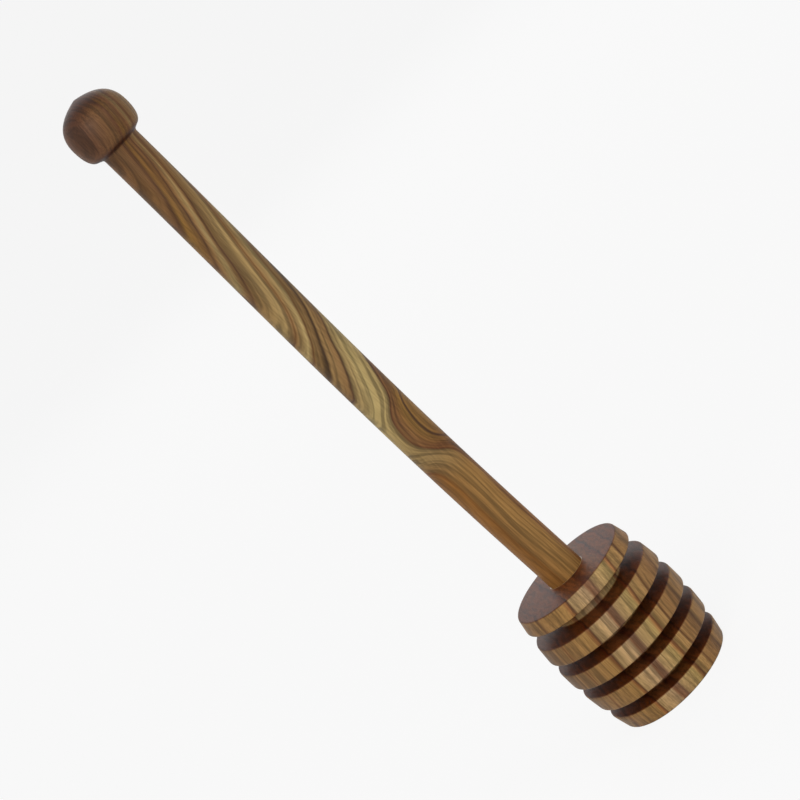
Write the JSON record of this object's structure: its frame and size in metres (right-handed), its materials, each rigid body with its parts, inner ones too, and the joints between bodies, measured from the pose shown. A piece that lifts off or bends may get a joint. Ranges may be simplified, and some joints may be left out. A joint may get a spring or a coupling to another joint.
{
  "type": "honey dipper",
  "caption": "Turned olive wood honey dipper: a straight round handle with a knob at its end, glued into a barrel-shaped head whose deep grooves hold honey.",
  "frame": {"origin": "middle of the flat foot of the head, which the dipper stands on", "axes": "+Z along the axis of turning, from the head's foot up the handle to the tip of the knob; X and Y are level and the solids are round about Z"},
  "size_m": [0.0296, 0.0296, 0.16],
  "materials": {
    "handle_wood": "oiled olive wood, satin, with golden and dark brown figure",
    "head_wood": "oiled olive wood, satin, with pale bands and dark lines along the grain",
    "glue": "dried wood glue, pale and slightly glossy"
  },
  "bodies": {
    "root": {"handle": "handle_wood", "head": "head_wood", "glue": "glue"}
  },
  "joints": []
}
